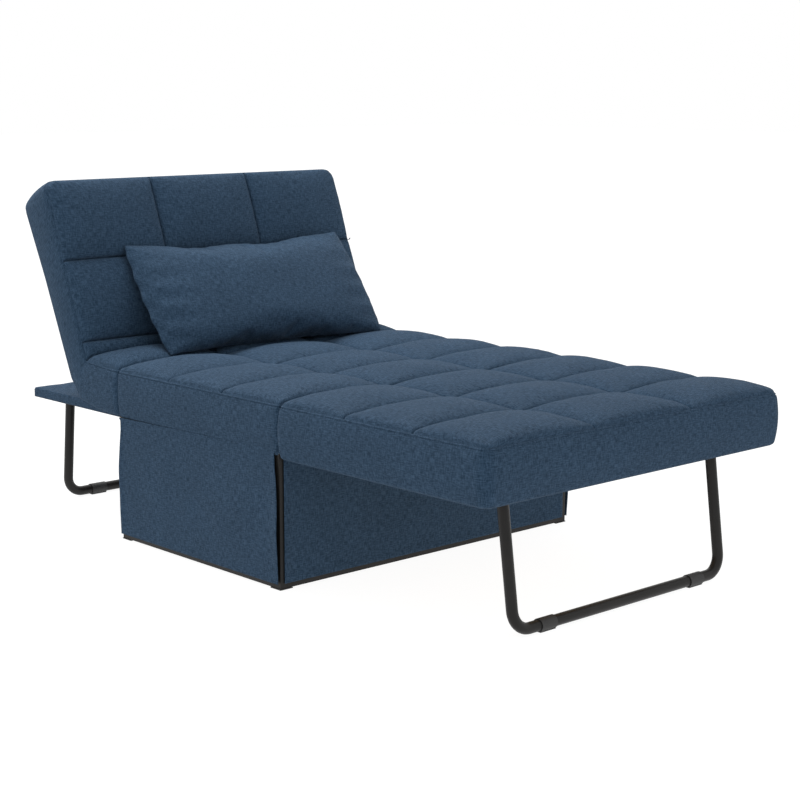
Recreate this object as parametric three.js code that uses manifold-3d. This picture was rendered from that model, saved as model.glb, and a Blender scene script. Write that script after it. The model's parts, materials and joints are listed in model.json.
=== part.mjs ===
// A three-section futon sofa bed: a skirted box base under the middle section, a front section that
// folds up over it on two tall leaf hinges, a fixed rear section that carries a reclining backrest,
// and a folding U-shaped leg under each end section.
// Millimetres, +Z up, -Y to the foot end. Left (-X) and right (+X) are as seen from the foot end.
// Inside the outer group Y is measured from the middle of the box base; the group then moves so that
// the origin is at the bottom centre of the bounding box.
import * as THREE from "three";
import { mergeVertices } from "three/addons/utils/BufferGeometryUtils.js";
import Module from "manifold-3d";

const wasm = await Module();
wasm.setup();

// ---------------------------------------------------------------- driving dimensions
const GAP = 0.3; // between pieces that touch
const ORIGIN_SHIFT = 81.8; // from the middle of the base to the middle of the bounding box
const HALF_WIDTH = 475; // of the cushions
const TUBE = 20; // square frame tube
const WALL = 3; // fabric panels
const PLY = 4.5; // decks
const SEAT_TOP = 424.5;
const BASE_X = 472; // half width of the steel base
const BASE_Y = 310; // half depth of the steel base
const GLIDE = 2.5; // height of the corner glides
const HEM = 14.5; // height of the lower edge of the skirts and panels
const FRAME_TOP = 312; // top of every section's frame
const FRAME_LOW = FRAME_TOP - TUBE;
const DECK_LOW = FRAME_TOP + GAP;
const DECK_TOP = DECK_LOW + PLY;
const CUSHION_LOW = DECK_TOP + GAP;

const FRONT_END = -948; // foot end of the front cushion
const FRONT_START = -318; // its edge next to the base
const FRONT_FRAME_X = 444;
const FRONT_FRAME_END = -910;
const FOLD_Y = -314; // hinge line between the front and middle sections
const FOLD_Z = 421.5;

const REAR_FRAME_X = 428;
const REAR_FRAME_END = 779.5;
const RECLINE_Y = 462; // hinge line of the backrest
const RECLINE_Z = 412;
const RECLINE_ANGLE = 69.6; // backrest from flat, degrees
const BACK_LENGTH = 466;
const BACK_OFFSET = 19; // from the hinge line to the backrest's lower end
const BACK_FACE = 18.5; // the front face stands this far above the hinge line when flat
const BACK_THIN = 84; // cushion at the lower end
const BACK_THICK = 122; // cushion at the top end

const LEG_X = 340; // half spacing of the U-legs' uprights
const LEG_RADIUS = 12.5;
const LEG_WALL = 1.5;
const LEG_BEND = 45;
const LEG_PIVOT_Z = 294.5;
const LEG_TOP = 6; // end of the uprights above the pivot
const LEG_AXIS_Z = 14.5; // bottom tube above the floor
const FRONT_LEG_Y = -862;
const FRONT_LEG_TILT = -7.9;
const REAR_LEG_Y = 742.5;
const REAR_FOOT_Y = 772;
const CLIP_X = 245;
const CLIP_LENGTH = 46;
const CLIP_RADIUS = 14.5;
const PIN_RADIUS = 4;
const PIN_HOLE = 4.3;

const PILLOW = { width: 690, height: 340, thick: 100, x: 42, y: 405, z: 573, incline: 51.4, yaw: -2.9 };

const deg = THREE.MathUtils.degToRad;
const REAR_LEG_TILT = THREE.MathUtils.radToDeg(
  Math.atan2(REAR_FOOT_Y - REAR_LEG_Y, LEG_PIVOT_Z - LEG_AXIS_Z),
);

// ---------------------------------------------------------------- materials
const fabric = new THREE.MeshStandardMaterial({ color: 0x2c4a69, roughness: 0.95, metalness: 0 });
const steel = new THREE.MeshStandardMaterial({ color: 0x1c1b1a, roughness: 0.45, metalness: 0.6 });
const zinc = new THREE.MeshStandardMaterial({ color: 0x8d9094, roughness: 0.35, metalness: 0.9 });
const plastic = new THREE.MeshStandardMaterial({ color: 0x151515, roughness: 0.6, metalness: 0 });
const ply = new THREE.MeshStandardMaterial({ color: 0xb08d5e, roughness: 0.8, metalness: 0 });

// ---------------------------------------------------------------- helpers
function add(parent, name, geometry, material) {
  const mesh = new THREE.Mesh(geometry, material);
  mesh.name = name;
  parent.add(mesh);
  return mesh;
}

// A box between two corners.
function box([x0, x1], [y0, y1], [z0, z1]) {
  const g = new THREE.BoxGeometry(x1 - x0, y1 - y0, z1 - z0);
  return g.translate((x0 + x1) / 2, (y0 + y1) / 2, (z0 + z1) / 2);
}

// An outline in Y and Z, extruded along X.
function profile(shape, x0, x1, bevel = 0, curveSegments = 8) {
  const options = { depth: x1 - x0 - 2 * bevel, curveSegments, bevelEnabled: bevel > 0 };
  if (bevel > 0) {
    Object.assign(options, {
      bevelThickness: bevel,
      bevelSize: bevel,
      bevelOffset: -bevel,
      bevelSegments: 3,
    });
  }
  const basis = new THREE.Matrix4().makeBasis(
    new THREE.Vector3(0, 1, 0),
    new THREE.Vector3(0, 0, 1),
    new THREE.Vector3(1, 0, 0),
  );
  const g = new THREE.ExtrudeGeometry(shape, options);
  return g.applyMatrix4(basis).translate(x0 + bevel, 0, 0);
}

const outline = (points) => new THREE.Shape(points.map(([y, z]) => new THREE.Vector2(y, z)));

// A round rod along X, centred on y and z.
function rodX(radius, x0, x1, y, z, sides = 16) {
  const g = new THREE.CylinderGeometry(radius, radius, x1 - x0, sides);
  return g.rotateZ(Math.PI / 2).translate((x0 + x1) / 2, y, z);
}

function solid(geometry) {
  const g = geometry.clone();
  g.deleteAttribute("normal");
  g.deleteAttribute("uv");
  const merged = mergeVertices(g, 1e-3);
  return new wasm.Manifold(
    new wasm.Mesh({
      numProp: 3,
      vertProperties: merged.attributes.position.array,
      triVerts: new Uint32Array(merged.index.array),
    }),
  );
}

function geometryOf(manifold) {
  const m = manifold.getMesh();
  const g = new THREE.BufferGeometry();
  g.setAttribute("position", new THREE.BufferAttribute(new Float32Array(m.vertProperties), 3));
  g.setIndex(new THREE.BufferAttribute(new Uint32Array(m.triVerts), 1));
  g.computeVertexNormals();
  return g;
}

const join = (...parts) => geometryOf(parts.map(solid).reduce((a, b) => a.add(b)));
const cut = (body, ...tools) =>
  geometryOf(tools.map(solid).reduce((a, b) => a.subtract(b), solid(body)));

const SIDES = [
  ["left", -1],
  ["right", 1],
];
const span = (side, near, far) => (side > 0 ? [near, far] : [-far, -near]);

// A cushion's plain block with soft edges.
function cushionBlock(halfX, [y0, y1], [z0, z1], edge = 14) {
  const shape = new THREE.Shape();
  const r = 10;
  const x = halfX - edge;
  const [a, b] = [y0 + edge, y1 - edge];
  shape.moveTo(-x + r, a);
  shape.lineTo(x - r, a);
  shape.absarc(x - r, a + r, r, -Math.PI / 2, 0);
  shape.lineTo(x, b - r);
  shape.absarc(x - r, b - r, r, 0, Math.PI / 2);
  shape.lineTo(-x + r, b);
  shape.absarc(-x + r, b - r, r, Math.PI / 2, Math.PI);
  shape.lineTo(-x, a + r);
  shape.absarc(-x + r, a + r, r, Math.PI, Math.PI * 1.5);
  const g = new THREE.ExtrudeGeometry(shape, {
    depth: z1 - z0 - 2 * edge,
    curveSegments: 3,
    bevelThickness: edge,
    bevelSize: edge,
    bevelSegments: 3,
  });
  return g.translate(0, 0, z0 + edge);
}

// ---------------------------------------------------------------- base under the middle section
function buildBase(root) {
  const inner = BASE_X - TUBE;
  const innerY = BASE_Y - TUBE;
  for (const [end, s] of [
    ["front", -1],
    ["rear", 1],
  ]) {
    const y = span(s, innerY, BASE_Y);
    const x = [-inner + GAP, inner - GAP];
    add(root, `base_rail_${end}`, box(x, y, [GLIDE, GLIDE + TUBE]), steel);
    add(root, `top_rail_${end}`, box(x, y, [FRAME_LOW, FRAME_TOP]), steel);
    const panelX = [-inner - 9, inner + 9];
    const panelY = span(s, BASE_Y + GAP, BASE_Y + GAP + WALL - 1);
    add(root, `${end}_panel`, box(panelX, panelY, [HEM, FRAME_LOW - GAP]), fabric);
    for (const [side, t] of SIDES) {
      const post = box(span(t, inner, BASE_X), y, [GLIDE, FRAME_TOP]);
      add(root, `corner_post_${end}_${side}`, post, steel);
      add(root, `corner_glide_${end}_${side}`, glide(t, s), plastic);
    }
  }
  for (const [side, t] of SIDES) {
    const x = span(t, inner, BASE_X);
    const y = [-innerY + GAP, innerY - GAP];
    add(root, `base_rail_${side}`, box(x, y, [GLIDE, GLIDE + TUBE]), steel);
    add(root, `top_rail_${side}`, box(x, y, [FRAME_LOW, FRAME_TOP]), steel);
    add(root, `skirt_${side}`, skirt(t), fabric);
  }
  const deckX = [-BASE_X, BASE_X];
  add(root, "seat_deck", box(deckX, [-BASE_Y, BASE_Y], [DECK_LOW, DECK_TOP]), ply);
  const seat = cushionBlock(HALF_WIDTH, [-BASE_Y, BASE_Y], [CUSHION_LOW, SEAT_TOP]);
  add(root, "seat_cushion", seat, fabric);
}

// A square glide pad under a corner, with its inner corner cut off.
function glide(xSign, ySign) {
  const size = 36;
  const proud = 1.5;
  const cutOff = 12;
  const x = BASE_X + proud;
  const y = BASE_Y + proud;
  const points = [
    [x, y],
    [x - size, y],
    [x - size, y - size + cutOff],
    [x - size + cutOff, y - size],
    [x, y - size],
  ].map(([a, b]) => new THREE.Vector2(a * xSign, b * ySign));
  return new THREE.ExtrudeGeometry(new THREE.Shape(points), {
    depth: GLIDE - GAP,
    bevelEnabled: false,
  });
}

// The side skirt hangs from the seat's edge to the base rail. Its front and rear edges draw in
// below the cushion, which leaves the corner post showing.
function skirt(xSign) {
  const top = DECK_TOP;
  const edge = BASE_Y - 3;
  const drawn = BASE_Y - 13;
  const shape = new THREE.Shape();
  shape.moveTo(-edge, HEM);
  shape.lineTo(edge, HEM);
  shape.lineTo(edge, 170);
  shape.quadraticCurveTo(edge, 230, drawn, 290);
  shape.lineTo(drawn, top);
  shape.lineTo(-drawn, top);
  shape.lineTo(-drawn, 290);
  shape.quadraticCurveTo(-edge, 230, -edge, 170);
  const [x0, x1] = span(xSign, BASE_X + GAP, HALF_WIDTH);
  return profile(shape, x0, x1);
}

// ---------------------------------------------------------------- front section
function buildFrontSection(root) {
  const x = FRONT_FRAME_X;
  const z = [FRAME_LOW, FRAME_TOP];
  const crossX = [-x + TUBE + GAP, x - TUBE - GAP];
  for (const [side, s] of SIDES) {
    const rail = box(span(s, x - TUBE, x), [FRONT_FRAME_END, FRONT_START], z);
    add(root, `front_side_rail_${side}`, rail, steel);
    add(root, `front_leg_bracket_${side}`, legBracket(s, FRONT_LEG_Y, -1), steel);
    add(root, `fold_hinge_front_leaf_${side}`, foldLeaf(s, -1), steel);
  }
  const crossRails = [
    ["front_end_rail", FRONT_FRAME_END],
    ["front_inner_rail", FRONT_START - TUBE],
  ];
  for (const [name, y] of crossRails) add(root, name, box(crossX, [y, y + TUBE], z), steel);
  const deck = box([-x, x], [FRONT_FRAME_END, FRONT_START - 1], [DECK_LOW, DECK_TOP]);
  add(root, "front_deck", deck, ply);
  const block = cushionBlock(HALF_WIDTH, [FRONT_END, FRONT_START], [CUSHION_LOW, SEAT_TOP]);
  add(root, "front_cushion", block, fabric);
}

// One leaf of a fold hinge: a tall plate in the gap between two cushions, with knuckles at its top.
// The middle section's leaf carries the outer knuckles and the pin, the front one the middle knuckle.
function foldLeaf(xSign, ySign) {
  const centre = 300 * xSign;
  const half = 32;
  const knuckle = 11;
  const plate = 2;
  const radius = 3;
  const near = 1.7;
  const face = [FOLD_Y + ySign * near, FOLD_Y + ySign * (near + plate)].sort((a, b) => a - b);
  const width = ySign < 0 ? knuckle - GAP : half;
  const low = FRAME_LOW + 1;
  const stem = box([centre - half, centre + half], face, [low, FOLD_Z - 8]);
  const neck = (a, b) => box([a, b], face, [FOLD_Z - 9, FOLD_Z]);
  const barrel = (a, b) => rodX(radius, a, b, FOLD_Y, FOLD_Z, 12);
  if (ySign < 0) {
    const middle = join(
      stem,
      neck(centre - width, centre + width),
      barrel(centre - width, centre + width),
    );
    return cut(middle, rodX(1.8, centre - half, centre + half, FOLD_Y, FOLD_Z, 12));
  }
  return join(
    stem,
    neck(centre - half, centre - knuckle),
    neck(centre + knuckle, centre + half),
    barrel(centre - half, centre - knuckle),
    barrel(centre + knuckle, centre + half),
    rodX(1.5, centre - half, centre + half, FOLD_Y, FOLD_Z, 12),
  );
}

// ---------------------------------------------------------------- folding U-legs
// A channel bracket welded between an end rail and the leg's pivot; its closed end is the leg's stop.
function legBracket(xSign, pivotY, out) {
  const c = LEG_X * xSign;
  const halfOut = 15.5;
  const sheet = 2.5;
  const low = 283.5;
  const top = FRAME_TOP - GAP;
  const reach = (a, b) => [pivotY + out * a, pivotY + out * b].sort((p, q) => p - q);
  const end = out < 0 ? pivotY - (FRONT_FRAME_END + TUBE) : REAR_FRAME_END - TUBE - pivotY;
  const stop = LEG_RADIUS + 2.2;
  const cheeks = [-1, 1].map((t) =>
    box(span(t, halfOut - sheet, halfOut).map((v) => v + c), reach(-13, stop + 0.5), [low, top]),
  );
  const web = box([c - halfOut, c + halfOut], reach(-13, end - GAP), [top - sheet, top]);
  const flange = box([c - halfOut, c + halfOut], reach(stop, end - GAP), [low, top]);
  const hole = rodX(PIN_RADIUS + GAP, c - 20, c + 20, pivotY, LEG_PIVOT_Z);
  return cut(join(...cheeks, web, flange), hole);
}

// A planar path that keeps the points it is given, so that only the bends get short steps.
class TubePath extends THREE.Curve {
  constructor(points) {
    super();
    this.points = points;
  }
  getPoint(t, target = new THREE.Vector3()) {
    const last = this.points.length - 1;
    const at = Math.min(Math.max(t, 0), 1) * last;
    const i = Math.min(Math.floor(at), last - 1);
    return target.lerpVectors(this.points[i], this.points[i + 1], at - i);
  }
  getUtoTmapping(u) {
    return u;
  }
}

// The U-leg in its own frame: pivot line along X through the origin, uprights down.
function legTube(length) {
  const steps = 6;
  const points = [new THREE.Vector3(-LEG_X, 0, LEG_TOP)];
  for (const s of [-1, 1]) {
    for (let i = 0; i <= steps; i++) {
      const a = (Math.PI / 2) * (s < 0 ? i / steps : 1 - i / steps);
      const x = s * (LEG_X - LEG_BEND + LEG_BEND * Math.cos(a));
      const z = -length + LEG_BEND - LEG_BEND * Math.sin(a);
      points.push(new THREE.Vector3(x, 0, z));
    }
  }
  points.push(new THREE.Vector3(LEG_X, 0, LEG_TOP));
  const ring = new THREE.Shape();
  ring.absarc(0, 0, LEG_RADIUS, 0, Math.PI * 2);
  const bore = new THREE.Path();
  bore.absarc(0, 0, LEG_RADIUS - LEG_WALL, 0, Math.PI * 2);
  ring.holes.push(bore);
  const tube = new THREE.ExtrudeGeometry(ring, {
    steps: points.length - 1,
    curveSegments: 8,
    extrudePath: new TubePath(points),
    bevelEnabled: false,
  });
  return cut(tube, rodX(PIN_HOLE, -LEG_X - 15, LEG_X + 15, 0, 0));
}

// A moulded foot that snaps round the bottom tube and stands on the floor.
function footClip(xSign) {
  const shape = new THREE.Shape();
  const pad = 8;
  const shoulder = Math.asin(pad / CLIP_RADIUS);
  shape.absarc(0, 0, CLIP_RADIUS, -Math.PI / 2 + shoulder, Math.PI * 1.5 - shoulder);
  shape.lineTo(-pad, -LEG_AXIS_Z);
  shape.lineTo(pad, -LEG_AXIS_Z);
  const bore = new THREE.Path();
  bore.absarc(0, 0, LEG_RADIUS + GAP, 0, Math.PI * 2);
  shape.holes.push(bore);
  const c = CLIP_X * xSign;
  return profile(shape, c - CLIP_LENGTH / 2, c + CLIP_LENGTH / 2, 0, 10);
}

// A hex-headed pivot bolt with its nut.
function legBolt(xSign) {
  const c = LEG_X * xSign;
  const grip = 16;
  return join(
    rodX(PIN_RADIUS - 0.1, c - grip, c + grip, 0, 0),
    rodX(6.5, c - grip - 4, c - grip + 0.1, 0, 0, 6),
    rodX(6.5, c + grip - 0.1, c + grip + 4, 0, 0, 6),
  );
}

function buildLeg(root, end, pivotY, tilt) {
  const leg = new THREE.Group();
  leg.position.set(0, pivotY, LEG_PIVOT_Z);
  leg.rotation.x = deg(tilt);
  root.add(leg);
  const length = (LEG_PIVOT_Z - LEG_AXIS_Z) / Math.cos(deg(tilt));
  add(leg, `${end}_leg_tube`, legTube(length), steel);
  for (const [side, s] of SIDES) {
    const clip = add(leg, `${end}_foot_clip_${side}`, footClip(s), plastic);
    clip.position.z = -length;
    clip.rotation.x = -deg(tilt);
    add(leg, `${end}_leg_bolt_${side}`, legBolt(s), zinc);
  }
}

// ---------------------------------------------------------------- rear section
function buildRearSection(root) {
  const x = REAR_FRAME_X;
  const z = [FRAME_LOW, FRAME_TOP];
  const start = BASE_Y + GAP;
  const endFace = REAR_FRAME_END - TUBE;
  for (const [side, s] of SIDES) {
    const rail = box(span(s, x - TUBE, x), [start, endFace - GAP], z);
    add(root, `rear_side_rail_${side}`, rail, steel);
    add(root, `rear_leg_bracket_${side}`, legBracket(s, REAR_LEG_Y, 1), steel);
    add(root, `recline_hinge_base_${side}`, reclineBase(s), zinc);
    add(root, `fold_hinge_base_leaf_${side}`, foldLeaf(s, 1), steel);
  }
  const crossX = [-x + TUBE + GAP, x - TUBE - GAP];
  add(root, "rear_cross_rail", box(crossX, [396, 396 + TUBE], z), steel);
  add(root, "rear_end_rail", box([-x, x], [endFace, REAR_FRAME_END], z), steel);

  // The deck is upholstered: its top board and the band that wraps the frame are one piece.
  const band = 3.5;
  const slot = (s) => box(span(s, 398, 409.5), [425, 512], [300, 330]);
  const deckOuter = box([-x - band, x + band], [start, REAR_FRAME_END + band], [FRAME_LOW + GAP, DECK_TOP]);
  const deckInner = box(
    [-x - GAP, x + GAP],
    [start - 10, REAR_FRAME_END + GAP],
    [280, FRAME_TOP + GAP],
  );
  add(root, "rear_deck", cut(deckOuter, deckInner, slot(-1), slot(1)), fabric);

  // The short seat part behind the base; its back is cut away for the backrest's swing.
  const rear = outline([
    [316, CUSHION_LOW],
    [478, CUSHION_LOW],
    [478, 404],
    [460, 419],
    [441, 429],
    [428, 437],
    [400, 440],
    [345, 432],
    [316, SEAT_TOP - 6],
  ]);
  const hingeSlot = (s) => box(span(s, 394, 412), [415, 520], [300, 460]);
  const block = profile(rear, -HALF_WIDTH, HALF_WIDTH);
  add(root, "rear_cushion", cut(block, hingeSlot(-1), hingeSlot(1)), fabric);
}

// The fixed half of a recline hinge: a plate on the side rail with the pivot pin riveted in.
function reclineBase(xSign) {
  const shape = new THREE.Shape();
  shape.moveTo(432, FRAME_LOW + 1);
  shape.lineTo(506, FRAME_LOW + 1);
  shape.lineTo(506, 326);
  shape.lineTo(RECLINE_Y + 15, RECLINE_Z - 14);
  shape.absarc(RECLINE_Y, RECLINE_Z, 15, -0.3, Math.PI + 0.3);
  shape.lineTo(432, 326);
  const plate = profile(shape, ...span(xSign, 404, 407.7), 0, 10);
  const pin = rodX(PIN_RADIUS, ...span(xSign, 398, 404.5), RECLINE_Y, RECLINE_Z);
  const head = rodX(8, ...span(xSign, 396.4, 399.4), RECLINE_Y, RECLINE_Z);
  return join(plate, pin, head);
}

// ---------------------------------------------------------------- backrest
// Modelled lying flat about its hinge line, then raised.
function buildBackrest(root) {
  const back = new THREE.Group();
  back.position.set(0, RECLINE_Y, RECLINE_Z);
  back.rotation.x = deg(RECLINE_ANGLE);
  root.add(back);

  const y0 = BACK_OFFSET;
  const y1 = BACK_OFFSET + BACK_LENGTH;
  const slope = (BACK_THICK - BACK_THIN) / BACK_LENGTH;
  const under = (y) => BACK_FACE - BACK_THIN - slope * (y - y0); // cushion's back face at y
  const r = 16;
  const shape = new THREE.Shape();
  shape.moveTo(y0, under(y0));
  shape.lineTo(y1 - r, under(y1 - r));
  shape.quadraticCurveTo(y1, under(y1), y1, under(y1) + r);
  shape.lineTo(y1, BACK_FACE - r);
  shape.quadraticCurveTo(y1, BACK_FACE, y1 - r, BACK_FACE);
  shape.lineTo(y0, BACK_FACE);
  const block = profile(shape, -HALF_WIDTH, HALF_WIDTH, 0, 4);

  const railX = 404; // inner face of the side rails
  const depth = TUBE + 1;
  const pocketX = railX + TUBE + 2;
  const a = y0 + 24;
  const b = y1 - 20;
  const pocket = outline([
    [a, under(a) + depth],
    [b, under(b) + depth],
    [b, under(b) - 20],
    [a, under(a) - 20],
  ]);
  const armSlot = (s) => box(span(s, 394, 412), [0, 118], [-90, 16]);
  const cushion = cut(block, profile(pocket, -pocketX, pocketX), armSlot(-1), armSlot(1));
  add(back, "backrest_cushion", cushion, fabric);

  // Frame tubes lie in the pocket, along the back face.
  const lie = (from, to, lift = 0.5) =>
    outline([
      [from, under(from) + lift],
      [to, under(to) + lift],
      [to, under(to) + lift + TUBE],
      [from, under(from) + lift + TUBE],
    ]);
  const crossRails = [y0 + 80, (a + b) / 2, b - TUBE - 1].map((from) =>
    profile(lie(from, from + TUBE), -railX - 1, railX + 1),
  );
  const sideRails = SIDES.map(([, s]) =>
    profile(lie(a + 1, b - 1), ...span(s, railX, railX + TUBE)),
  );
  add(back, "backrest_frame", join(...crossRails, ...sideRails), steel);
  for (const [side, s] of SIDES) {
    add(back, `recline_hinge_arm_${side}`, reclineArm(s, under), zinc);
  }
  const low = y0 + 27; // clear of the hinge bases when the backrest lies flat
  const high = y1 - 18;
  const panel = outline([
    [low, under(low) - GAP],
    [high, under(high) - GAP],
    [high, under(high) - GAP - WALL],
    [low, under(low) - GAP - WALL],
  ]);
  add(back, "backrest_back_panel", profile(panel, -HALF_WIDTH + 3, HALF_WIDTH - 3), fabric);
  return back;
}

// The moving half of a recline hinge: an arm on the backrest's side rail with a toothed sector.
function reclineArm(xSign, under) {
  const teeth = 9;
  const root = 15;
  const tip = 18.5;
  const shape = new THREE.Shape();
  shape.moveTo(92, under(92) + 1);
  shape.lineTo(92, under(92) + 19);
  shape.lineTo(16, 8);
  for (let i = 0; i <= 2 * teeth; i++) {
    const angle = deg(40 + (i * 170) / (2 * teeth));
    const radius = i % 2 ? tip : root;
    shape.lineTo(radius * Math.cos(angle), radius * Math.sin(angle));
  }
  shape.lineTo(-8, -13);
  shape.lineTo(36, under(36) + 1);
  const plate = profile(shape, ...span(xSign, 400, 403.7));
  return cut(plate, rodX(PIN_HOLE, ...span(xSign, 395, 410), 0, 0));
}

// ---------------------------------------------------------------- pillow
// Two crowned faces that meet at a seam round the edge.
function pillowGeometry() {
  const columns = 18;
  const rows = 12;
  const vertices = [];
  const index = [];
  const at = (i, n) => -Math.cos((Math.PI * i) / n);
  const face = (sign) => {
    const start = vertices.length / 3;
    for (let j = 0; j <= rows; j++) {
      for (let i = 0; i <= columns; i++) {
        const [u, v] = [at(i, columns), at(j, rows)];
        const crown = Math.sqrt(Math.max(0, (1 - u ** 4) * (1 - v ** 4)));
        const x = (PILLOW.width / 2) * u * (1 - 0.03 * (1 - v * v));
        const y = (PILLOW.height / 2) * v * (1 - 0.05 * (1 - u * u));
        vertices.push(x, y, (sign * crown * PILLOW.thick) / 2);
      }
    }
    for (let j = 0; j < rows; j++) {
      for (let i = 0; i < columns; i++) {
        const a = start + j * (columns + 1) + i;
        const [b, c, d] = [a + 1, a + columns + 2, a + columns + 1];
        index.push(...(sign > 0 ? [a, b, c, a, c, d] : [a, c, b, a, d, c]));
      }
    }
  };
  face(1);
  face(-1);
  const g = new THREE.BufferGeometry();
  g.setAttribute("position", new THREE.Float32BufferAttribute(vertices, 3));
  g.setIndex(index);
  return geometryOf(solid(g));
}

function buildPillow(root) {
  const pillow = add(root, "pillow", pillowGeometry(), fabric);
  pillow.position.set(PILLOW.x, PILLOW.y, PILLOW.z);
  pillow.rotation.set(deg(PILLOW.incline), 0, deg(PILLOW.yaw), "ZXY");
}

// ---------------------------------------------------------------- assembly
const futon = new THREE.Group();
const parts = new THREE.Group();
parts.position.y = ORIGIN_SHIFT;
futon.add(parts);
buildBase(parts);
buildFrontSection(parts);
buildRearSection(parts);
buildBackrest(parts);
buildLeg(parts, "front", FRONT_LEG_Y, FRONT_LEG_TILT);
buildLeg(parts, "rear", REAR_LEG_Y, REAR_LEG_TILT);
buildPillow(parts);

export default futon;
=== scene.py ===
"""Looks for the futon sofa bed: tufted upholstery, skirts, pillow, steel legs, light and camera.

Everything is in metres in the frame's own axes: -Y is the foot end, +Z is up.
"""

import json
import math

import bpy
import numpy as np
from mathutils import Matrix, Vector


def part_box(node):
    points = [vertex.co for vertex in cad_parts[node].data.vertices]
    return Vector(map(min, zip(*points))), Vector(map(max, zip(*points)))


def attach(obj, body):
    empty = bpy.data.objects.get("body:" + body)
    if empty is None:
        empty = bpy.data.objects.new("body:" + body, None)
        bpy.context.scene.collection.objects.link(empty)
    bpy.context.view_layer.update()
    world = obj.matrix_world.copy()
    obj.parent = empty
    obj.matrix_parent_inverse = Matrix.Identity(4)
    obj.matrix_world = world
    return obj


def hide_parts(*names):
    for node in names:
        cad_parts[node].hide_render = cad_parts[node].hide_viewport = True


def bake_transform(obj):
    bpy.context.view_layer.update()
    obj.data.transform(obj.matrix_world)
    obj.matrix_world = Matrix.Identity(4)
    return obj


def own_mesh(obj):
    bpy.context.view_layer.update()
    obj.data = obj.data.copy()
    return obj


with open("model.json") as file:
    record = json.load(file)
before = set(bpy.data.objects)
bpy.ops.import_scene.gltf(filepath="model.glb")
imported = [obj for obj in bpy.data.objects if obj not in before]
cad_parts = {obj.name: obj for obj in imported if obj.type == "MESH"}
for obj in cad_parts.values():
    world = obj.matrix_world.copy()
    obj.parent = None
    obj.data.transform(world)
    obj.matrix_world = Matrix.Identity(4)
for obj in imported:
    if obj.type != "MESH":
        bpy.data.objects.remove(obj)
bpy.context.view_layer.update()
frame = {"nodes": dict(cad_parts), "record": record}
RNG = np.random.default_rng(20)

# ------------------------------------------------------------ camera, as the photograph was taken
CAMERA_AZIMUTH = -42.0
CAMERA_ELEVATION = 11.55
CAMERA_DISTANCE = 4.354
CAMERA_TARGET = Vector((0.0, -0.0144, 0.2436))
CAMERA_LENS = 79.3
CAMERA_SHIFT = (0.033, 0.0516)

FLOOR = 30  # half the floor's width

# ------------------------------------------------------------ upholstery sizes
HALF_WIDTH = 0.475
COLUMN_SEAMS = (-0.158, 0.158)
SEAM_TOP = 0.4245  # height of the seams on the seat
SEAT_BAND_LOW = 0.3055  # lower edge of the middle cushion's side band, which is sewn to the skirt
FRONT_BAND_LOW = 0.2995  # lower edge of the foot cushion's side band
BACK_SEAMS = (0.046, 0.257)  # cross seams of the backrest, above the crease
BACK_DEPTH = 0.12  # lattice depth of the backrest's cover, from its front line to its back line
PUFF = 0.027  # rise of a cell above its seams
STITCH_DIP = 0.005  # how far the stitching pulls a seam in
BOXING_SEAM = 0.0075  # depth of the seam between face and side band
FINE = (0.0012, 0.0026, 0.0045, 0.0075, 0.012, 0.018)  # distances of the rows beside a seam or an edge
STEP = 0.0125  # spacing of the rows elsewhere

SKIRT_FACE = 0.4771  # outer face of a skirt where it is sewn on, in X
SKIRT_SEAM_REAR = 0.307  # height of the skirt's seam at its rear edge
SKIRT_SEAM_FRONT = 0.321  # and at its front edge
CLOTH_THICKNESS = 0.0016
HEM_ROWS = (0.002, 0.006, 0.012, 0.014)  # rows beside the edge of a thin panel
HEM_STEP = 0.014  # spacing of its other rows

# ------------------------------------------------------------ cloth simulation
SWELL = {"frames": 12, "pressure": 1.8, "stiffness": 14.0, "bending": 0.6, "pins": "held"}
SWELL_LIMIT = 0.003  # farthest that the simulation may carry a cushion's cloth
PILLOW_SWELL = {"frames": 24, "pressure": 2.2, "stiffness": 6.0, "bending": 3.0}

# ------------------------------------------------------------ leg sizes
LEG_RADIUS = 0.0125
LEG_BEND = 0.045
LEG_TURNS = 12  # steps round each bend
LEG_HALF = 0.340  # half the spacing of a leg's uprights
LEG_ABOVE = 0.006  # how far an upright runs on past its pivot
CLIP_RADIUS = 0.0145
THREAD_RADIUS = 0.0007

# ------------------------------------------------------------ pillow
PILLOW_CASE = (0.705, 0.352)  # the empty case, laid flat
PILLOW_INCLINE = 51.4
PILLOW_YAW = -2.9
PILLOW_NUDGE = Vector((-0.006, 0.0, -0.003))
PILLOW_REST = 0.4465  # the seat's crown, on which the pillow flattens


def low(node):
    """The lower corner of a CAD node's box."""
    return Vector(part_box(node)[0])


def high(node):
    """The upper corner of a CAD node's box."""
    return Vector(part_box(node)[1])


def joint_row(name):
    """The record's row for a joint."""
    return next(row for row in frame["record"]["behaviour"]["joints"] if row["name"] == name)


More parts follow.
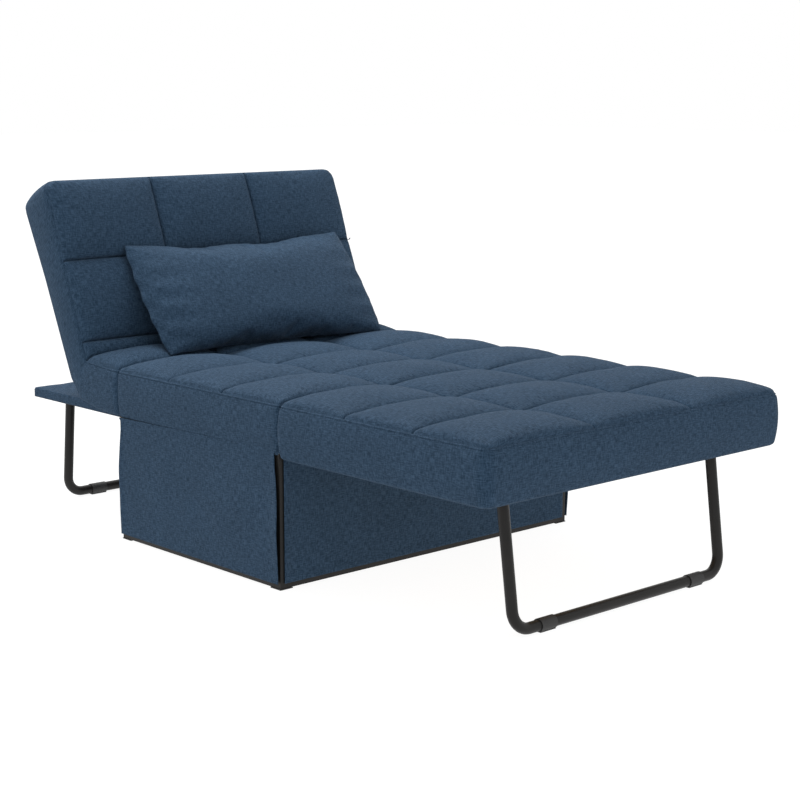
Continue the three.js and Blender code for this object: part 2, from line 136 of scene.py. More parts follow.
# ------------------------------------------------------------ node helpers
class Nodes:
    """A short way to write a node material."""

    def __init__(self, name):
        self.material = bpy.data.materials.new(name)
        self.material.use_nodes = True
        self.tree = self.material.node_tree
        self.shader = self.tree.nodes["Principled BSDF"]

    def add(self, kind, **values):
        """A new node. Each value is one of its settings, or goes to an input as put says."""
        node = self.tree.nodes.new(kind)
        for key, value in values.items():
            if hasattr(node, key):
                setattr(node, key, value)
            else:
                self.put(node, key, value)
        return node

    def put(self, node, key, value):
        """Sets or links an input, named with _ for spaces, or as _3 for input number 3."""
        socket = node.inputs[int(key[1:])] if key[0] == "_" else node.inputs[key.replace("_", " ")]
        if isinstance(value, bpy.types.NodeSocket):
            self.tree.links.new(value, socket)
        else:
            socket.default_value = value

    def set(self, **values):
        """Sets or links inputs of the material's own shader."""
        for key, value in values.items():
            self.put(self.shader, key, value)

    def math(self, operation, a, b=0.0):
        return self.add("ShaderNodeMath", operation=operation, _0=a, _1=b).outputs[0]

    def noise(self, vector, scale, detail=2.0, roughness=0.5):
        return self.add(
            "ShaderNodeTexNoise", Vector=vector, Scale=scale, Detail=detail, Roughness=roughness
        ).outputs["Fac"]

    def stretch(self, vector, scale):
        return self.add("ShaderNodeMapping", Vector=vector, Scale=scale).outputs["Vector"]

    def ramp(self, value, low_value, high_value, to_low=0.0, to_high=1.0):
        """Maps low_value..high_value to to_low..to_high, clamped."""
        return self.add(
            "ShaderNodeMapRange", _0=value, _1=low_value, _2=high_value, _3=to_low, _4=to_high
        ).outputs[0]

    def blend(self, factor, a, b, blend_type="MIX"):
        node = self.add("ShaderNodeMix", data_type="RGBA", blend_type=blend_type)
        for index, value in ((0, factor), (6, a), (7, b)):
            if isinstance(value, bpy.types.NodeSocket):
                self.tree.links.new(value, node.inputs[index])
            else:
                node.inputs[index].default_value = value
        return node.outputs[2]

    def bump(self, height, strength, distance, normal=None):
        node = self.add("ShaderNodeBump", Height=height, Strength=strength, Distance=distance)
        if normal is not None:
            self.tree.links.new(normal, node.inputs["Normal"])
        return node.outputs["Normal"]


def linen(name, dark, light):
    """Heathered linen weave: slubby warp and weft threads in two blues. It needs a metric UV map."""
    n = Nodes(name)
    uv = n.add("ShaderNodeUVMap", uv_map="weave").outputs["UV"]
    weft = n.noise(n.stretch(uv, (70, 430, 1)), 1.0, 2.0, 0.6)
    warp = n.noise(n.stretch(uv, (430, 70, 1)), 1.0, 2.0, 0.6)
    slub = n.math("ADD", n.math("MULTIPLY", weft, 0.5), n.math("MULTIPLY", warp, 0.5))
    heather = n.ramp(slub, 0.4, 0.6)
    cloudy = n.noise(uv, 9.0, 3.0)
    colour = n.blend(heather, dark, light)
    shade = n.ramp(cloudy, 0.3, 0.7, 0.93, 1.05)
    tone = n.add("ShaderNodeCombineXYZ", _0=shade, _1=shade, _2=shade).outputs[0]
    colour = n.blend(1.0, colour, tone, "MULTIPLY")
    across = n.add("ShaderNodeTexWave", Vector=uv, Scale=290.0, Distortion=0.6)
    across.bands_direction = "X"
    along = n.add("ShaderNodeTexWave", Vector=uv, Scale=290.0, Distortion=0.6)
    along.bands_direction = "Y"
    weave = n.math("MAXIMUM", across.outputs["Fac"], along.outputs["Fac"])
    height = n.math("ADD", n.math("MULTIPLY", weave, 0.5), slub)
    n.set(
        Base_Color=colour,
        Roughness=n.ramp(slub, 0.3, 0.7, 0.96, 0.84),
        Normal=n.bump(height, 0.55, 0.0012),
        Sheen_Weight=0.06,
        Sheen_Roughness=0.5,
        Sheen_Tint=(0.55, 0.66, 0.8, 1),
        Specular_IOR_Level=0.1,
    )
    return n.material


def painted_steel(name):
    """Black powder coat with a fine orange peel and random patches rubbed a little lighter."""
    n = Nodes(name)
    position = n.add("ShaderNodeTexCoord").outputs["Object"]
    peel = n.noise(position, 420.0, 3.0)
    wear = n.noise(position, 7.0, 5.0, 0.65)
    colour = n.blend(n.ramp(wear, 0.42, 0.75), (0.006, 0.0055, 0.005, 1), (0.016, 0.0145, 0.0135, 1))
    n.set(
        Base_Color=colour,
        Metallic=0.0,
        Roughness=n.ramp(wear, 0.3, 0.7, 0.34, 0.46),
        Normal=n.bump(peel, 0.12, 0.0006),
        Specular_IOR_Level=0.24,
    )
    return n.material


def zinc_steel(name):
    """Bright zinc plate with rolled streaks."""
    n = Nodes(name)
    position = n.add("ShaderNodeTexCoord").outputs["Object"]
    streaks = n.noise(n.stretch(position, (30, 30, 400)), 1.0, 4.0)
    spangle = n.noise(position, 60.0, 2.0)
    n.set(
        Base_Color=n.blend(spangle, (0.42, 0.42, 0.43, 1), (0.58, 0.58, 0.57, 1)),
        Metallic=1.0,
        Roughness=n.ramp(streaks, 0.3, 0.7, 0.28, 0.46),
        Normal=n.bump(streaks, 0.1, 0.0004),
    )
    return n.material


def moulded_plastic(name):
    """Black moulded plastic with a fine spark-eroded grain."""
    n = Nodes(name)
    position = n.add("ShaderNodeTexCoord").outputs["Object"]
    grain = n.noise(position, 900.0, 2.0)
    n.set(
        Base_Color=n.blend(grain, (0.012, 0.012, 0.012, 1), (0.02, 0.02, 0.02, 1)),
        Roughness=n.ramp(grain, 0.3, 0.7, 0.5, 0.68),
        Normal=n.bump(grain, 0.25, 0.0004),
    )
    return n.material


def plywood(name):
    """Pale rotary-cut veneer, its grain along Y."""
    n = Nodes(name)
    position = n.add("ShaderNodeTexCoord").outputs["Object"]
    figure = n.noise(n.stretch(position, (14, 1.4, 14)), 1.0, 6.0, 0.6)
    pores = n.noise(n.stretch(position, (500, 22, 500)), 1.0, 2.0)
    colour = n.blend(n.ramp(figure, 0.35, 0.65), (0.42, 0.27, 0.14, 1), (0.62, 0.44, 0.26, 1))
    colour = n.blend(n.ramp(pores, 0.62, 0.75, 0.0, 0.4), colour, (0.25, 0.15, 0.08, 1))
    n.set(Base_Color=colour, Roughness=0.68, Normal=n.bump(pores, 0.2, 0.0005))
    return n.material


FABRIC = linen("linen", (0.011, 0.028, 0.053, 1), (0.038, 0.072, 0.121, 1))
MATERIALS = {
    "blue_fabric": FABRIC,
    "black_steel": painted_steel("powder_coat"),
    "zinc_steel": zinc_steel("zinc_plate"),
    "black_plastic": moulded_plastic("moulded_plastic"),
    "plywood": plywood("plywood"),
}


# ------------------------------------------------------------ mesh helpers
def mesh_piece(name, vertices, faces, uvs=None, slot="blue_fabric"):
    """A smooth mesh object. uvs holds one metric (u, v) for each face corner, in face order."""
    mesh = bpy.data.meshes.new(name)
    mesh.from_pydata([tuple(v) for v in vertices], [], faces)
    if uvs is not None:
        layer = mesh.uv_layers.new(name="weave")
        layer.data.foreach_set("uv", np.asarray(uvs, dtype=np.float32).ravel())
    mesh.materials.append(MATERIALS[slot])
    mesh.shade_smooth()
    piece = bpy.data.objects.new(name, mesh)
    bpy.context.scene.collection.objects.link(piece)
    return piece


def apply_modifiers(piece):
    """Keeps the evaluated mesh and removes the modifiers."""
    bpy.context.view_layer.update()
    depsgraph = bpy.context.evaluated_depsgraph_get()
    mesh = bpy.data.meshes.new_from_object(piece.evaluated_get(depsgraph))
    piece.modifiers.clear()
    piece.data = mesh


def mesh_points(piece):
    """The mesh's vertices as an n by 3 array."""
    points = np.empty(3 * len(piece.data.vertices))
    piece.data.vertices.foreach_get("co", points)
    return points.reshape(-1, 3)


def set_mesh_points(piece, points):
    piece.data.vertices.foreach_set("co", points.ravel())
    piece.data.update()


def inflate(piece, frames, pressure, stiffness, bending, pins=""):
    """Runs a cloth simulation with pressure and no gravity, and applies its last frame.

    The vertex group pins is held still.
    """
    cloth = piece.modifiers.new("cloth", "CLOTH")
    cloth.settings.quality = 5
    cloth.settings.mass = 0.25
    cloth.settings.tension_stiffness = stiffness
    cloth.settings.compression_stiffness = stiffness
    cloth.settings.shear_stiffness = stiffness * 0.4
    cloth.settings.bending_stiffness = bending
    cloth.settings.air_damping = 6
    cloth.settings.use_pressure = True
    cloth.settings.uniform_pressure_force = pressure
    cloth.settings.effector_weights.gravity = 0
    cloth.settings.vertex_group_mass = pins
    cloth.collision_settings.use_collision = False
    cloth.point_cache.frame_start = 1
    cloth.point_cache.frame_end = frames
    for number in range(1, frames + 1):
        bpy.context.scene.frame_set(number)
    apply_modifiers(piece)
    bpy.context.scene.frame_set(1)


def swell(piece):
    """The filling presses the cover out a little between the seams, which stay put."""
    start = mesh_points(piece)
    inflate(piece, **SWELL)
    moved = mesh_points(piece) - start
    travel = np.linalg.norm(moved, axis=1, keepdims=True)
    set_mesh_points(piece, start + moved * np.minimum(1, SWELL_LIMIT / np.maximum(travel, 1e-9)))


def rows(start, end, marks, step=STEP, fine=FINE):
    """Rows from start to end, closer together beside each mark and beside both ends."""
    wanted = {round(start, 5), round(end, 5)}
    for mark in (*marks, start, end):
        wanted.add(round(mark, 5))
        for offset in fine:
            wanted.update((round(mark - offset, 5), round(mark + offset, 5)))
    near = sorted(v for v in wanted if start <= v <= end)
    out = [near[0]]
    for value in near[1:]:
        gap = value - out[-1]
        parts = max(1, math.ceil(gap / step - 0.25))
        out += [out[-1] + gap * k / parts for k in range(1, parts + 1)]
    return np.array(out)


def cell_profile(values, seams):
    """0 at every seam, 1 in the middle between two of them, with a steep start."""
    seams = np.asarray(seams)
    index = np.clip(np.searchsorted(seams, values) - 1, 0, len(seams) - 2)
    a, b = seams[index], seams[index + 1]
    u = np.clip(2 * (values - a) / (b - a) - 1, -1, 1)
    return (1 - np.abs(u) ** 2.3) ** 0.55


def seam_distance(values, seams):
    """Distance to the nearest seam, or a large number where there is none."""
    if not len(seams):
        return np.full_like(values, 9.0)
    return np.min(np.abs(values[:, None] - np.asarray(seams)[None, :]), axis=1)


def ripple(x, y, scale, count=9):
    """Smooth seeded noise between about -1 and 1."""
    total = np.zeros_like(x)
    for _ in range(count):
        angle = RNG.uniform(0, math.tau)
        phase = RNG.uniform(0, math.tau)
        stretch = RNG.uniform(0.6, 1.5)
        k = math.tau / (scale * stretch)
        total += np.sin(k * (x * math.cos(angle) + y * math.sin(angle)) + phase)
    return total / math.sqrt(count)


def grid_faces(points, grid, turned=False):
    """Quads over a grid of point numbers, with (u, v) measured along the surface from its middle."""
    placed = points[grid]
    u = np.zeros(grid.shape)
    v = np.zeros(grid.shape)
    u[1:] = np.cumsum(np.linalg.norm(np.diff(placed, axis=0), axis=2), axis=0)
    v[:, 1:] = np.cumsum(np.linalg.norm(np.diff(placed, axis=1), axis=2), axis=1)
    u -= u[grid.shape[0] // 2]
    v -= v[:, grid.shape[1] // 2][:, None]
    faces, uvs = [], []
    for a in range(grid.shape[0] - 1):
        for b in range(grid.shape[1] - 1):
            corners = [(a, b), (a + 1, b), (a + 1, b + 1), (a, b + 1)]
            if turned:
                corners.reverse()
            faces.append([int(grid[c]) for c in corners])
            uvs.extend((u[c], v[c]) for c in corners)
    return faces, uvs


class Slab:
    """A cushion's shell as a lattice: x across, s along and d down from its face.

    place(x, s, d, lift) turns lattice values into points. corner and edge are radii in plan and in
    section; the face is quilted between the seams, and the side band bulges a little. pocket is a
    recess in the back as half width, start, end and depth. puffs gives each row of cells its own rise.
    """

    def __init__(self, name, half_x, length, depth, seams_s, place, corner=(0.02, 0.02), edge=0.009,
                 puff=PUFF, bulge=0.0045, seams_x=COLUMN_SEAMS, pocket=None, puffs=None, open_back=False):
        self.name = name
        self.place = place
        self.half_x = half_x
        self.length = length
        self.depth = depth
        self.corner = corner
        self.edge = edge
        self.bulge = bulge
        self.pocket = pocket
        self.puff = puff
        self.puffs = puffs
        self.open_back = open_back
        self.seams_x = (-half_x, *seams_x, half_x)
        self.seams_s = (0.0, *seams_s, length)
        marks_x = list(seams_x)
        marks_s = list(seams_s)
        if pocket:
            marks_x += [-pocket[0], pocket[0]]
            marks_s += [pocket[1], pocket[2]]
        self.xs = rows(-half_x, half_x, marks_x)
        self.ss = rows(0.0, length, marks_s)
        self.ds = rows(0.0, depth, (BOXING_SEAM,))

    def shell(self):
        """Lattice points of the shell, and each side's grid of point numbers with its turn."""
        nx, ns, nd = len(self.xs), len(self.ss), len(self.ds)
        number = {}
        points = []

        def vertex(i, j, k):
            key = (i, j, k)
            if key not in number:
                number[key] = len(points)
                points.append((self.xs[i], self.ss[j], self.ds[k]))
            return number[key]

        def side(a_count, b_count, key):
            return np.array([[vertex(*key(a, b)) for b in range(b_count)] for a in range(a_count)])

        sides = [(side(nx, ns, lambda a, b: (a, b, 0)), False)]
        if not self.open_back:
            sides.append((side(nx, ns, lambda a, b: (a, b, nd - 1)), True))
        sides.append((side(nx, nd, lambda a, b: (a, 0, b)), True))
        sides.append((side(nx, nd, lambda a, b: (a, ns - 1, b)), False))
        sides.append((side(ns, nd, lambda a, b: (0, a, b)), False))
        sides.append((side(ns, nd, lambda a, b: (nx - 1, a, b)), True))
        return np.array(points), sides

    def shaped(self, points):
        """x, s, d and lift for every lattice point."""
        x, s, d = points.T.copy()
        half_s = self.length / 2
        radius = np.where(s < half_s, self.corner[0], self.corner[1])
        qx = np.maximum(np.abs(x) - (self.half_x - radius), 0) * np.sign(x)
        qs = np.maximum(np.abs(s - half_s) - (half_s - radius), 0) * np.sign(s - half_s)
        length = np.hypot(qx, qs)
        reach = np.maximum(np.abs(qx), np.abs(qs))
        scale = np.where(length > 0, reach / np.maximum(length, 1e-9), 1.0)
        nx = np.where(length > 0, qx / np.maximum(length, 1e-9), 0.0)
        ns = np.where(length > 0, qs / np.maximum(length, 1e-9), 0.0)
        inset = np.minimum(self.half_x - np.abs(x), half_s - np.abs(s - half_s))
        lift = self.quilt(x, s) * (d <= 1e-6)
        lift -= self.recess(x, s) * (d >= self.depth - 1e-6)
        x = x - qx + qx * scale
        s = s - qs + qs * scale

        # Round the long edges of the face and of the back.
        for depth_from, toward in ((d, 1), (self.depth - d, -1)):
            a = np.maximum(self.edge - inset, 0)
            b = np.maximum(self.edge - depth_from, 0)
            hyp = np.hypot(a, b)
            both = (a > 0) & (b > 0)
            factor = np.where(both, np.maximum(a, b) / np.maximum(hyp, 1e-9), 1.0)
            shift = np.where(both, a * (1 - factor), 0.0)
            x = x - nx * shift
            s = s - ns * shift
            sink = np.where(both, b * (1 - factor), 0.0)
            d = d + sink * toward
        t = np.clip(points[:, 2] / self.depth, 0, 1)
        out = np.where(inset <= 1e-6, self.bulge * np.sin(math.pi * t) ** 0.7, 0.0)
        seam = np.exp(-(((points[:, 2] - BOXING_SEAM) / 0.0016) ** 2))
        out -= np.where(inset <= 1e-6, 0.0026 * seam, 0.0)
        x = x + nx * out
        s = s + ns * out
        return x, s, d, lift

    def quilt(self, x, s):
        """Height of the quilted face above its seams."""
        across = cell_profile(x, self.seams_x)
        along = cell_profile(s, self.seams_s)
        height = self.puff
        if self.puffs:
            index = np.clip(np.searchsorted(self.seams_s, s) - 1, 0, len(self.puffs) - 1)
            height = np.asarray(self.puffs)[index]
        wander = 1 + 0.05 * ripple(x, s, 0.16)
        pucker = 0.0007 * ripple(x, s, 0.045) * (1 - across * along)
        stitched = np.exp(-((seam_distance(x, self.seams_x[1:-1]) / 0.0024) ** 2))
        stitched = np.maximum(stitched, np.exp(-((seam_distance(s, self.seams_s[1:-1]) / 0.0024) ** 2)))
        rise = height * (across * along) ** 0.82 * wander + pucker * (across * along > 0)
        return rise - STITCH_DIP * stitched

    def recess(self, x, s):
        """The pocket in the back face that holds a frame, as a height."""
        if not self.pocket:
            return np.zeros_like(x)
        px, s0, s1, depth = self.pocket
        inside = (np.abs(x) <= px) & (s >= s0) & (s <= s1)
        return np.where(inside, -depth, 0.0)

    def build(self):
        lattice, sides = self.shell()
        points = self.place(*self.shaped(lattice))
        faces, uvs = [], []
        for grid, turned in sides:
            more_faces, more_uvs = grid_faces(points, grid, turned)
            faces += more_faces
            uvs += more_uvs
        piece = mesh_piece(self.name, points, faces, uvs)
        held = self.held(lattice)
        group = piece.vertex_groups.new(name="held")
        group.add([int(index) for index in np.flatnonzero(held)], 1.0, "REPLACE")
        return piece

    def held(self, lattice):
        """Lattice points that a seam, the frame or the lower edge holds still."""
        x, s, d = lattice.T
        seams = np.minimum(seam_distance(x, self.seams_x[1:-1]), seam_distance(s, self.seams_s[1:-1]))
        inset = np.minimum(self.half_x - np.abs(x), self.length / 2 - np.abs(s - self.length / 2))
        stitched = (d < 1e-6) & ((seams < 0.003) | (inset < 0.003))
        boxing_seam = (inset < 1e-6) & (d < BOXING_SEAM + 0.002)
        return stitched | boxing_seam | (d > self.depth - 0.02)


def level(y0, top):
    """A place function for a slab that lies level, its face at height top."""
    return lambda x, s, d, lift: np.stack([x, y0 + s, top - d + lift], axis=1)


# ------------------------------------------------------------ upholstery
def seat_upholstery():
    """The tufted middle cushion, three rows of three cells."""
    a, b = low("seat_cushion"), high("seat_cushion")
    length = b.y - a.y + 0.003
    piece = Slab(
        "seat_upholstery",
        HALF_WIDTH,
        length,
        SEAM_TOP - SEAT_BAND_LOW,
        (length / 3, 2 * length / 3),
        level(a.y - 0.0015, SEAM_TOP),
        corner=(0.011, 0.011),
        pocket=(high("seat_deck").x + 0.0008, -1, 1, a.z - SEAT_BAND_LOW),
    ).build()
    swell(piece)
    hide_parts("seat_cushion")
    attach(piece, "base")


def front_upholstery():
    """The foot section's cushion; its boxing hangs round the frame."""
    a, b = low("front_cushion"), high("front_cushion")
    length = b.y - a.y + 0.002
    deck_low, deck_high = low("front_deck"), high("front_deck")
    pocket_start = deck_low.y - a.y - 0.0015
    pocket_depth = deck_high.z + 0.0008 - FRONT_BAND_LOW
    piece = Slab(
        "front_upholstery",
        HALF_WIDTH,
        length,
        SEAM_TOP - FRONT_BAND_LOW,
        (length / 3, 2 * length / 3),
        level(a.y, SEAM_TOP),
        corner=(0.022, 0.011),
        bulge=0.009,
        pocket=(deck_high.x + 0.0015, pocket_start, length - 0.004, pocket_depth),
    ).build()
    swell(piece)
    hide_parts("front_cushion")
    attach(piece, "front_section")
    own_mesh(piece)


class BackPath:
    """Section through the rear strip and the backrest: a front line and a back line, in Y and Z."""

    STRIP = 0.134  # length of the strip in front of the crease
    BACK = 0.467  # length of the backrest above the crease
    CREASE = (-0.012, 0.021)  # the crease from the hinge line, in Y and Z

    def __init__(self):
        joint = joint_row("backrest_recline")
        self.hinge = Vector(joint["pos_m"])
        self.angle = math.radians(joint["range_deg"][1])
        h = self.hinge
        self.length = self.STRIP + self.BACK
        crease = (h.y + self.CREASE[0], h.z + self.CREASE[1])
        up = (math.cos(self.angle), math.sin(self.angle))
        top = (crease[0] + self.BACK * up[0], crease[1] + self.BACK * up[1])
        self.front = [(h.y - 0.148, 0.4245), crease, top]
        self.front_s = [0.0, self.STRIP, self.length]
        self.back = [
            (h.y - 0.148, 0.309),
            (h.y - 0.062, 0.311),
            (h.y + 0.018, 0.326),
            (h.y + 0.059, 0.374),
            (h.y + 0.167, 0.617),
            (h.y + 0.264, 0.811),
        ]
        self.back_s = [0.0, 0.066, self.STRIP, self.STRIP + 0.045, self.STRIP + 0.28, self.length]
        self.normals = [(0.0, 1.0), (-math.sin(self.angle), math.cos(self.angle))]

    def section(self, s):
        """The front point and the back point at s, as Y and Z."""
        fy, fz = (np.interp(s, self.front_s, [p[axis] for p in self.front]) for axis in (0, 1))
        by, bz = (np.interp(s, self.back_s, [p[axis] for p in self.back]) for axis in (0, 1))
        return fy, fz, by, bz

    def place(self, depth):
        """A place function for a slab of that depth between the two lines."""

        def placed(x, s, d, lift):
            t = np.clip(d / depth, 0, 1)
            fy, fz, by, bz = self.section(s)
            turn = np.clip((s - self.STRIP) / 0.03 + 0.5, 0, 1)
            turn = turn * turn * (3 - 2 * turn)
            ny = self.normals[1][0] * turn
            nz = 1 + (self.normals[1][1] - 1) * turn
            over = np.maximum(s - self.length, 0)
            under = np.minimum(s, 0)
            y = fy + (by - fy) * t + ny * lift + over * math.cos(self.angle) + under
            z = fz + (bz - fz) * t + nz * lift + over * math.sin(self.angle)
            return np.stack([x, y, z], axis=1)

        return placed


def back_upholstery():
    """The rear strip and the backrest are covered in one piece, which bends at the crease."""
    path = BackPath()
    strip = path.STRIP
    piece = Slab(
        "back_upholstery",
        HALF_WIDTH,
        path.length,
        BACK_DEPTH,
        (strip, *(strip + above for above in BACK_SEAMS)),
        path.place(BACK_DEPTH),
        corner=(0.011, 0.028),
        edge=0.009,
        puffs=(0.03, 0.018, 0.024, 0.024),
        bulge=0.007,
    ).build()
    swell(piece)
    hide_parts("rear_cushion", "backrest_cushion")
    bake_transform(piece)


def sheet_piece(name, width, height, place, turned=False):
    """A thin fabric panel. place(u, v) gives the points of its outer face, u across and v up."""
    us = rows(0.0, width, (), HEM_STEP, HEM_ROWS)
    vs = rows(0.0, height, (), HEM_STEP, HEM_ROWS)
    u, v = np.meshgrid(us, vs, indexing="ij")
    points = place(u.ravel(), v.ravel())
    grid = np.arange(u.size).reshape(u.shape)
    piece = mesh_piece(name, points, *grid_faces(points, grid, turned))
    solidify = piece.modifiers.new("thickness", "SOLIDIFY")
    solidify.thickness = CLOTH_THICKNESS
    solidify.offset = -1
    apply_modifiers(piece)
    return piece


def hem(u, v, width, height, top=True, rise=0.0009, breadth=0.013):
    """Height of the turned hem along the edges of a panel, with or without its upper edge."""
    edge = np.minimum(np.minimum(u, width - u), v)
    if top:
        edge = np.minimum(edge, height - v)
    return rise * (1 / (1 + np.exp((edge - breadth) / 0.0007)))


def side_skirts():
    """Each side skirt is sewn to the seat's edge and hangs loose at its front and rear edges."""
    for side, sign in (("left", -1), ("right", 1)):
        a, b = low(f"skirt_{side}"), high(f"skirt_{side}")
        width = b.y - a.y + 0.005
        height = SKIRT_SEAM_FRONT - a.z
        y0 = a.y - 0.0025

        def place(u, v, sign=sign, width=width, height=height, y0=y0, z0=a.z):
            t = v / height
            top = SKIRT_SEAM_FRONT + (SKIRT_SEAM_REAR - SKIRT_SEAM_FRONT) * u / width
            z = z0 + (top - z0) * t
            middle = (u / width - 0.5) * 2
            rising = np.clip((t - 0.55) / 0.38, 0, 1) ** 1.5
            drawn = 0.013 * rising * (1 - np.clip((t - 0.97) / 0.03, 0, 1))
            y = y0 + u - drawn * np.sign(middle) * np.abs(middle) ** 30
            loose = np.sin(math.pi * np.clip(t, 0, 1)) ** 0.8
            wave = 0.0014 * ripple(u, v * 0.45, 0.28) + 0.0006 * ripple(u, v, 0.09)
            free = np.where(middle < 0, 0.0035, 0.001) * np.abs(middle) ** 14
            flare = free * np.sin(math.pi * t * 1.4 + 0.4)
            tucked = 0.0016 * np.clip((t - 0.93) / 0.07, 0, 1)
            folds = loose * (0.0012 + wave + flare)
            x = SKIRT_FACE + folds + hem(u, v, width, height, top=False) - tucked
            return np.stack([sign * x, y, z], axis=1)

        piece = sheet_piece(f"skirt_cloth_{side}", width, height, place, turned=sign > 0)
        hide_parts(f"skirt_{side}")
        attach(piece, "base")


def flat_panels():
    """The fabric that closes the front and the rear of the base."""
    for node, rail, sign in (("front_panel", "top_rail_front", -1), ("rear_panel", "top_rail_rear", 1)):
        a, b = low(node), high(node)
        width, height = b.x - a.x, b.z - a.z + 0.006
        face = a.y if sign < 0 else b.y

        def place(u, v, sign=sign, x0=a.x, z0=a.z, width=width, height=height, face=face):
            slack = np.sin(math.pi * u / width) * np.sin(math.pi * v / height)
            depth = 0.0016 * slack * ripple(u, v, 0.33) + hem(u, v, width, height)
            return np.stack([x0 + u, face + sign * depth, z0 + v], axis=1)

        piece = sheet_piece(f"{node}_cloth", width, height, place, turned=sign > 0)
        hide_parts(node)
        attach(piece, "base")


def rear_deck_cover():
    """The rear section's board, covered with a thin pad whose edges roll down over the frame."""
    a, b = low("rear_deck"), high("rear_deck")
    piece = Slab(
        "rear_deck_cover",
        b.x,
        b.y - a.y,
        b.z - a.z,
        (),
        level(a.y, b.z),
        corner=(0.006, 0.012),
        edge=0.005,
        puff=0.0,
        bulge=0.0006,
        seams_x=(),
        open_back=True,
    ).build()
    solidify = piece.modifiers.new("thickness", "SOLIDIFY")
    solidify.thickness = 0.003
    solidify.offset = -1
    apply_modifiers(piece)
    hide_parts("rear_deck")
    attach(piece, "base")


def back_cover():
    """The fabric panel sewn over the back of the backrest, its upper corners rounded."""
    inset, corner = 0.016, 0.04  # distance from the backrest's edges, and the corners' radius
    path = BackPath()
    start = path.STRIP + 0.105
    width = 2 * (HALF_WIDTH - inset)
    height = path.length - inset - start

    def place(u, v):
        over = np.clip((v - (height - corner)) / corner, 0, 1)
        narrow = corner * (1 - np.sqrt(1 - 0.98 * over**2))
        x = (u - width / 2) * (1 - 2 * narrow / width)
        fy, fz, by, bz = path.section(start + v)
        thickness = np.hypot(by - fy, bz - fz)
        proud = (0.0004 + hem(u, v, width, height, rise=0.0007)) / thickness
        return np.stack([x, by + (by - fy) * proud, bz + (bz - fz) * proud], axis=1)

    piece = sheet_piece("back_cover", width, height, place, turned=True)
    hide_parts("backrest_back_panel")
    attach(piece, "backrest")


# ------------------------------------------------------------ pillow
def pillow_shell(width, height, step=0.0095):
    """Two faces sewn together round the edge and a little apart in the middle; both bow outwards."""
    nu, nv = round(width / step), round(height / step)
    u, v = np.meshgrid(np.linspace(-1, 1, nu + 1), np.linspace(-1, 1, nv + 1), indexing="ij")
    x = u * (width / 2) * (1 + 0.045 * (1 - v * v) + 0.004 * np.sin(17 * v + 1))
    y = v * (height / 2) * (1 + 0.025 * (1 - u * u) + 0.008 * np.sin(9 * u + 2))
    z = 0.03 * (1 - u**6) * (1 - v**4)
    upper = np.arange(u.size).reshape(u.shape)
    inside = np.zeros(u.shape, dtype=bool)
    inside[1:-1, 1:-1] = True
    lower = upper.copy()
    lower[inside] = u.size + np.arange(inside.sum())
    front = np.stack([x, y, z], axis=2).reshape(-1, 3)
    back = np.stack([x, y, -z], axis=2)[inside]
    points = np.vstack([front, back])
    faces, uvs = grid_faces(points, upper)
    more_faces, more_uvs = grid_faces(points, lower, True)
    return points, faces + more_faces, uvs + more_uvs


def settle(points, amount=0.03):
    """The filling sinks, so the belly hangs over the lower seam, and the ends fold a little."""
    x, y, z = points.T
    fullness = np.abs(z) / np.abs(z).max()
    end = np.clip((np.abs(x) - 0.22) / 0.12, 0, 1) * np.clip(1.2 - 3 * np.abs(y + 0.05), 0, 1)
    folds = np.sin(math.tau * y / 0.062 + 9 * x + 1.2) * np.sqrt(fullness)
    z = z + np.sign(z) * 0.0036 * end * folds
    y = y - amount * fullness**0.8
    return np.stack([x, y, z], axis=1)


def loose_pillow():
    """The long pillow that leans on the backrest, blown up from a flat case."""
    points, faces, uvs = pillow_shell(*PILLOW_CASE)
    piece = mesh_piece("pillow_cover", points, faces, uvs)
    inflate(piece, **PILLOW_SWELL)
    smooth = piece.modifiers.new("smooth", "SUBSURF")
    smooth.levels = 1
    apply_modifiers(piece)
    set_mesh_points(piece, settle(mesh_points(piece)))
    middle = (low("pillow") + high("pillow")) / 2 + PILLOW_NUDGE
    yaw = Matrix.Rotation(math.radians(PILLOW_YAW), 4, "Z")
    incline = Matrix.Rotation(math.radians(PILLOW_INCLINE), 4, "X")
    piece.data.transform(Matrix.Translation(middle) @ yaw @ incline)
    points = mesh_points(piece)
    rest = PILLOW_REST + 0.001 * ripple(points[:, 0], points[:, 1], 0.1)
    points[:, 2] = np.maximum(points[:, 2], rest)
    set_mesh_points(piece, points)
    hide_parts("pillow")
    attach(piece, "pillow")


# ------------------------------------------------------------ legs
def tube_piece(name, points, radius, slot):
    """A round tube through points, as a mesh."""
    curve = bpy.data.curves.new(name, "CURVE")
    curve.dimensions = "3D"
    curve.bevel_depth = radius
    curve.bevel_resolution = 9
    curve.use_fill_caps = True
    spline = curve.splines.new("POLY")
    spline.points.add(len(points) - 1)
    for point, co in zip(spline.points, points):
        point.co = (*co, 1)
    source = bpy.data.objects.new(name + "_path", curve)
    bpy.context.scene.collection.objects.link(source)
    bpy.context.view_layer.update()
    mesh = bpy.data.meshes.new_from_object(source.evaluated_get(bpy.context.evaluated_depsgraph_get()))
    bpy.data.objects.remove(source)
    mesh.name = name
    mesh.materials.clear()
    mesh.materials.append(MATERIALS[slot])
    mesh.shade_smooth()
    piece = bpy.data.objects.new(name, mesh)
    bpy.context.scene.collection.objects.link(piece)
    return piece


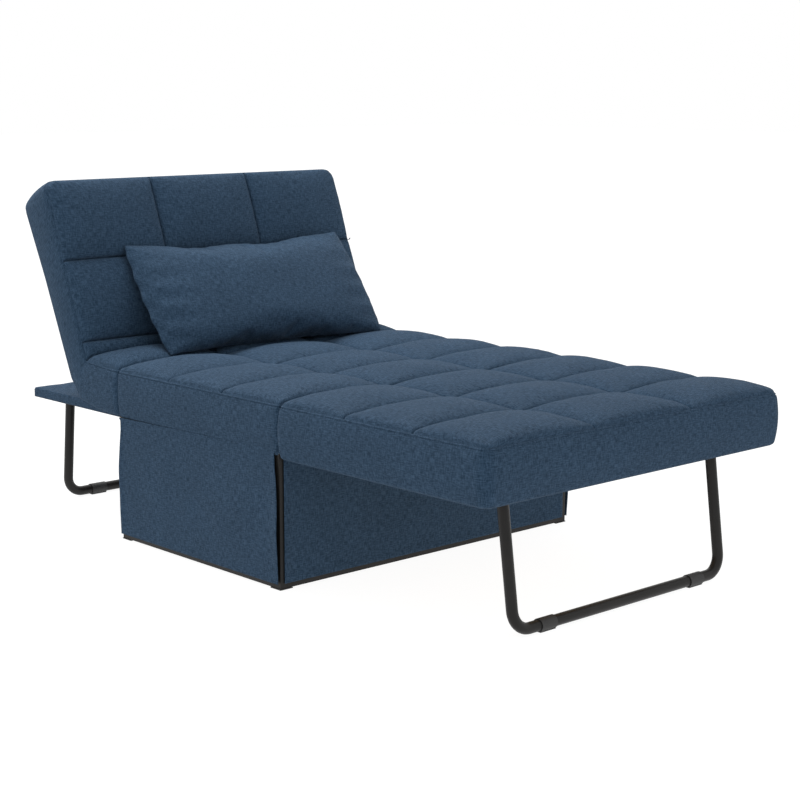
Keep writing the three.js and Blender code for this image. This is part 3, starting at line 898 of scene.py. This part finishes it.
def u_legs():
    """Each end's leg is one bent tube between two pivots."""
    for end in ("front", "rear"):
        pivot = Vector(joint_row(f"{end}_leg_fold")["pos_m"])
        clip_low, clip_high = low(f"{end}_foot_clip_left"), high(f"{end}_foot_clip_left")
        foot = Vector((0, (clip_low.y + clip_high.y) / 2, clip_high.z - CLIP_RADIUS))
        down = foot - pivot
        length = down.length
        down.normalize()
        points = [pivot - down * LEG_ABOVE + Vector((-LEG_HALF, 0, 0))]
        for sign in (-1, 1):
            turns = range(LEG_TURNS + 1) if sign < 0 else range(LEG_TURNS, -1, -1)
            for turn in turns:
                angle = math.pi / 2 * turn / LEG_TURNS
                x = sign * (LEG_HALF - LEG_BEND + LEG_BEND * math.cos(angle))
                along = length - LEG_BEND + LEG_BEND * math.sin(angle)
                points.append(pivot + down * along + Vector((x, 0, 0)))
        points.append(pivot - down * LEG_ABOVE + Vector((LEG_HALF, 0, 0)))
        piece = tube_piece(f"{end}_leg_steel", points, LEG_RADIUS, "black_steel")
        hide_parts(f"{end}_leg_tube")
        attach(piece, f"{end}_leg")


def thread_tufts():
    """Loose thread ends where the backrest's cross seams meet its right side."""
    path = BackPath()
    place = path.place(BACK_DEPTH)
    for number, above in enumerate(BACK_SEAMS):
        lattice = np.array([[HALF_WIDTH + 0.001], [path.STRIP + above], [0.004], [0.0]])
        root = Vector(place(*lattice)[0])
        for strand in range(3):
            lean = RNG.uniform(-0.006, 0.006, 3)
            points = [root + Vector((0.0075 * t, *(lean[:2] * t * t))) for t in (-0.4, 0, 0.5, 1.0)]
            piece = tube_piece(f"thread_{number}_{strand}", points, THREAD_RADIUS, "blue_fabric")
            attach(piece, "backrest")


# ------------------------------------------------------------ stage
def build_stage():
    """A pale floor and an even white studio round it."""
    signs = ((-1, -1), (1, -1), (1, 1), (-1, 1))
    corners = [(x * FLOOR, y * FLOOR, 0) for x, y in signs]
    mesh = bpy.data.meshes.new("floor")
    mesh.from_pydata(corners, [], [(0, 1, 2, 3)])
    floor = bpy.data.objects.new("floor", mesh)
    bpy.context.scene.collection.objects.link(floor)
    n = Nodes("pale_floor")
    n.set(
        Base_Color=(0.12, 0.12, 0.12, 1),
        Roughness=0.9,
        Emission_Color=(1, 1, 1, 1),
        Emission_Strength=0.93,
    )
    mesh.materials.append(n.material)

    world = bpy.data.worlds.new("studio")
    bpy.context.scene.world = world
    world.use_nodes = True
    background = world.node_tree.nodes["Background"]
    background.inputs["Color"].default_value = (1, 1, 1, 1)
    background.inputs["Strength"].default_value = 1.0


def build_light(name, place, size, energy):
    """A soft square light that points at the origin."""
    data = bpy.data.lights.new(name, "AREA")
    data.shape = "SQUARE"
    data.size = size
    data.energy = energy
    light = bpy.data.objects.new(name, data)
    light.location = place
    light.rotation_euler = (-Vector(place)).to_track_quat("-Z", "Y").to_euler()
    bpy.context.scene.collection.objects.link(light)


def build_camera():
    """The camera that sees the object as the photograph does."""
    data = bpy.data.cameras.new("camera")
    data.lens = CAMERA_LENS
    data.sensor_width = 36.0
    data.shift_x, data.shift_y = CAMERA_SHIFT
    camera = bpy.data.objects.new("camera", data)
    a, e = math.radians(CAMERA_AZIMUTH), math.radians(CAMERA_ELEVATION)
    away = Vector((math.sin(a) * math.cos(e), -math.cos(a) * math.cos(e), math.sin(e)))
    camera.location = CAMERA_TARGET + CAMERA_DISTANCE * away
    camera.rotation_euler = (-away).to_track_quat("-Z", "Y").to_euler()
    bpy.context.scene.collection.objects.link(camera)
    bpy.context.scene.camera = camera


def dress_cad_nodes():
    """Gives every CAD node the material of its slot."""
    slots = {row["node"]: row["material_slot"] for row in frame["record"]["subparts"]}
    for name, node in frame["nodes"].items():
        node.data.materials.clear()
        node.data.materials.append(MATERIALS[slots[name]])


build_camera()
build_stage()
build_light("key", (-0.3, 1.6, 3.0), 1.4, 86)
dress_cad_nodes()
seat_upholstery()
front_upholstery()
back_upholstery()
side_skirts()
flat_panels()
rear_deck_cover()
back_cover()
loose_pillow()
u_legs()
thread_tufts()

bpy.context.scene.view_settings.view_transform = "Standard"
